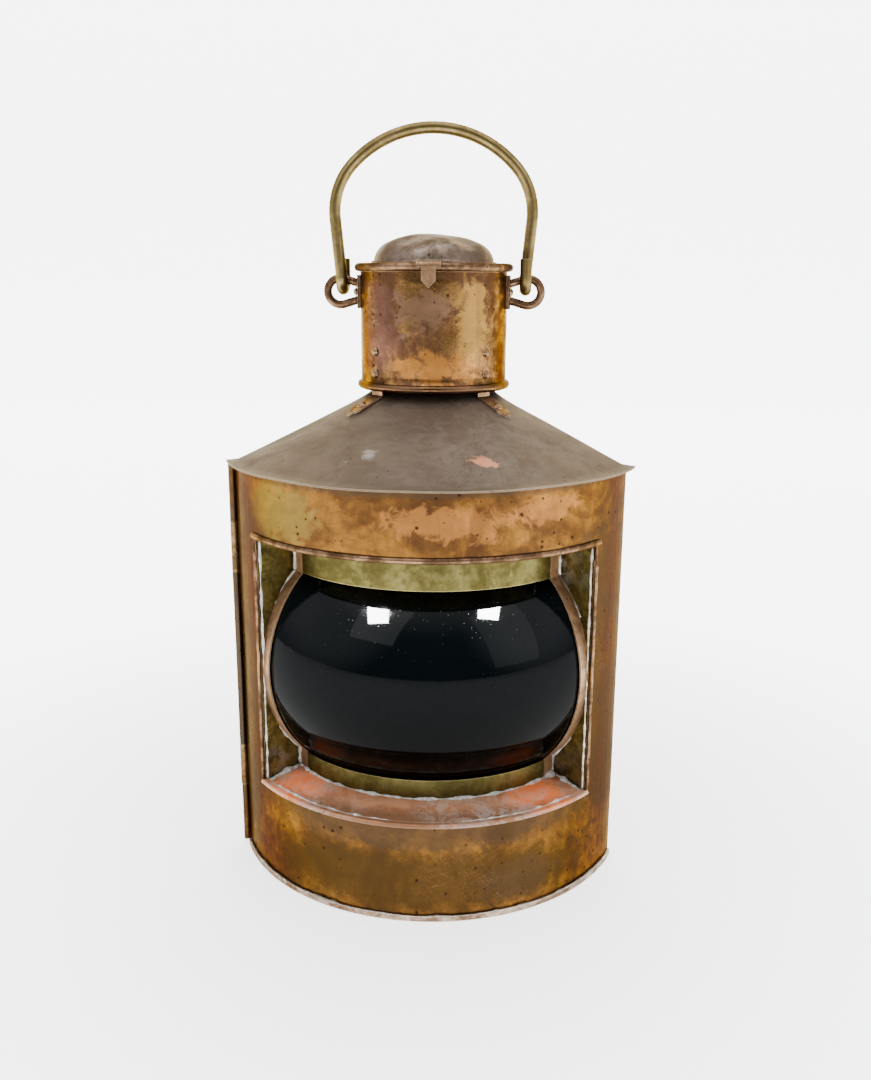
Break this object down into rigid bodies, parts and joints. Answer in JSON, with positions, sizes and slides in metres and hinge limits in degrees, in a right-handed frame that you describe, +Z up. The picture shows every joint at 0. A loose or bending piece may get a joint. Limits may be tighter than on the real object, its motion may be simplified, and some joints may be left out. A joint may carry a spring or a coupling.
{
  "type": "ship lantern",
  "caption": "Side light for a vessel: curved glazed front, corner housing with a hinged door, drum chimney, lid and carrying bail.",
  "frame": {"origin": "on the table, under the flame and the middle of the drum", "axes": "+Z up, the curved lens faces -Y, the door is on the -X side behind"},
  "size_m": [0.2092, 0.1786, 0.3859],
  "materials": {
    "shell_copper": "aged lacquered copper, mottled and scratched",
    "base_copper": "dull copper with solder streaks",
    "roof_copper": "dull weathered copper with white scuffs",
    "sooty_copper": "copper blackened by soot",
    "sill_copper": "bare copper, half cleaned",
    "cheek_brass": "dark olive brass",
    "strip_copper": "worn copper with solder",
    "band_brass": "aged brass",
    "lens_glass": "dark coloured glass",
    "putty": "old putty",
    "rivet_copper": "worn copper",
    "drum_copper": "heat-stained copper",
    "eye_copper": "brown copper",
    "bail_brass": "aged satin brass",
    "lid_copper": "dark brown copper",
    "dome_copper": "dull weathered copper",
    "catch_brass": "dark worn brass",
    "pin_brass": "drawn brass",
    "hinge_brass": "aged brass",
    "fount_brass": "spun brass",
    "burner_brass": "stained brass",
    "wick_cotton": "woven cotton"
  },
  "bodies": {
    "case": {"front_shell": "shell_copper", "right_wall": "shell_copper", "door_frame": "shell_copper", "base_pan": "base_copper", "roof": "roof_copper", "flue": "sooty_copper", "window_bead": "shell_copper", "sill": "sill_copper", "soffit": "sill_copper", "right_cheek": "cheek_brass", "left_cheek": "cheek_brass", "right_lens_strip": "strip_copper", "left_lens_strip": "strip_copper", "lower_lens_band": "band_brass", "upper_lens_band": "band_brass", "lens": "lens_glass", "lower_lens_putty": "putty", "upper_lens_putty": "putty", "right_lens_channel": "cheek_brass", "left_lens_channel": "cheek_brass", "strap_roof_rivets": "rivet_copper", "strap_drum_rivets": "rivet_copper", "drum": "drum_copper", "right_eye_plate": "eye_copper", "left_eye_plate": "eye_copper", "right_eye": "eye_copper", "left_eye": "eye_copper", "eye_rivets": "rivet_copper", "drum_hinge_leaf": "catch_brass", "lid_hinge_pin": "pin_brass", "lid_hinge_rivets": "rivet_copper", "door_hinge_pin": "pin_brass", "fount": "fount_brass", "fount_guides": "sill_copper", "burner": "burner_brass", "wick_tube": "burner_brass", "front_right_strap": "strip_copper", "front_left_strap": "strip_copper", "rear_right_strap": "strip_copper", "rear_left_strap": "strip_copper"},
    "door": {"door_panel": "shell_copper", "door_hinge_leaves": "hinge_brass", "door_catch": "catch_brass", "door_pull": "catch_brass"},
    "lid": {"lid_flange": "lid_copper", "lid_dome": "dome_copper", "lid_catch": "catch_brass", "lid_hinge_leaf": "catch_brass"},
    "bail": {"bail": "bail_brass"},
    "winder": {"winder": "burner_brass"},
    "wick": {"wick": "wick_cotton"}
  },
  "joints": [
    {"name": "door_hinge", "type": "hinge", "parent": "case", "child": "door", "pos_m": [-0.1019, -0.03707, 0.11], "axis": [0, 0, 1], "range_deg": [0, 135]},
    {"name": "lid_hinge", "type": "hinge", "parent": "case", "child": "lid", "pos_m": [0, 0.0438, 0.31435], "axis": [-1, 0, 0], "range_deg": [0, 45]},
    {"name": "bail_pivot", "type": "hinge", "parent": "case", "child": "bail", "pos_m": [0, 0, 0.3088], "axis": [1, 0, 0], "range_deg": [-112, 112]},
    {"name": "winder_spin", "type": "hinge", "parent": "case", "child": "winder", "pos_m": [0, 0.00455, 0.074], "axis": [-1, 0, 0], "range_deg": [-136, 68]},
    {"name": "wick_travel", "type": "slide", "parent": "case", "child": "wick", "axis": [0, 0, 1], "range_m": [-0.008, 0.004]}
  ],
  "couplings": [
    {"joint": "wick_travel", "follows": "winder_spin", "m_per_rad": 0.00335}
  ]
}
